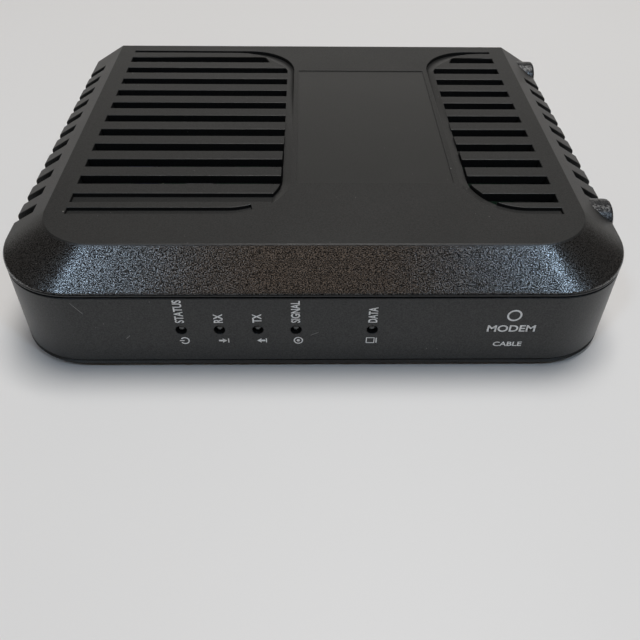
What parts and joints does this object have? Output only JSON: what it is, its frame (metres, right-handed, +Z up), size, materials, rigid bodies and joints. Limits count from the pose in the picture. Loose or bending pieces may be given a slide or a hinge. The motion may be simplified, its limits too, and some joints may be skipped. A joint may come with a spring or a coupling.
{
  "type": "cable modem",
  "caption": "Low black desktop cable modem: vented top cover with sloped edges, wrap-round front bezel with indicator holes, bottom case, board and rear connectors.",
  "frame": {"origin": "on the surface the modem stands on, under the middle of its bounding box", "axes": "+X to the right seen from the front, +Y from the front bezel to the rear connectors, +Z up"},
  "size_m": [0.1463, 0.1274, 0.031],
  "materials": {
    "case_plastic": "fine moulded texture, satin charcoal",
    "bezel_plastic": "smooth satin charcoal",
    "rubber": "matte",
    "side_foot_rubber": "coarse moulded texture",
    "label": "blank printed label stock",
    "screw_steel": "zinc plated",
    "circuit_board": "green solder mask",
    "chip_epoxy": "moulded epoxy",
    "thermal_pad": "soft silicone",
    "anodised_aluminium": "black anodised",
    "tinned_steel": "tin plated",
    "ceramic_part": "fired ceramic",
    "ferrite": "pressed ferrite",
    "capacitor_sleeve": "shrink sleeve",
    "nickel_plate": "nickel plated",
    "white_insulator": "moulded insulator",
    "contact_gold": "gold flashed",
    "black_nylon": "moulded nylon",
    "red_acetal": "moulded acetal",
    "led_resin": "translucent epoxy"
  },
  "bodies": {
    "casing": {"top_cover": "case_plastic", "bottom_case": "case_plastic", "front_bezel": "bezel_plastic", "rubber_foot_front_left": "rubber", "rubber_foot_front_right": "rubber", "rubber_foot_rear_left": "rubber", "rubber_foot_rear_right": "rubber", "side_foot_front": "side_foot_rubber", "side_foot_rear": "side_foot_rubber", "rating_label": "label", "case_screws": "screw_steel", "board_screws": "screw_steel", "main_board": "circuit_board", "main_chip": "chip_epoxy", "thermal_pad": "thermal_pad", "heat_sink": "anodised_aluminium", "memory_chip": "chip_epoxy", "flash_chip": "chip_epoxy", "crystal": "tinned_steel", "tuner_chip": "chip_epoxy", "diplexer": "ceramic_part", "shield_frame": "tinned_steel", "shield_lid": "tinned_steel", "ethernet_transformer": "chip_epoxy", "power_inductor": "ferrite", "core_inductor": "ferrite", "input_capacitor": "capacitor_sleeve", "output_capacitor": "capacitor_sleeve", "coax_body": "nickel_plate", "coax_washer": "nickel_plate", "coax_nut": "nickel_plate", "coax_insulator": "white_insulator", "coax_contact": "contact_gold", "ethernet_shell": "tinned_steel", "ethernet_insert": "black_nylon", "ethernet_contacts": "contact_gold", "power_jack_body": "black_nylon", "power_jack_pin": "nickel_plate", "power_jack_spring": "nickel_plate", "reset_switch": "black_nylon", "led_holder_1": "black_nylon", "led_holder_2": "black_nylon", "led_holder_3": "black_nylon", "led_holder_4": "black_nylon", "led_holder_5": "black_nylon", "led_1": "led_resin", "led_2": "led_resin", "led_3": "led_resin", "led_4": "led_resin", "led_5": "led_resin"},
    "reset_button": {"reset_button": "red_acetal"}
  },
  "joints": [
    {"name": "reset_press", "type": "slide", "parent": "casing", "child": "reset_button", "axis": [0, -1, 0], "range_m": [0, 0.0003], "stiffness_N_per_m": 4000}
  ]
}
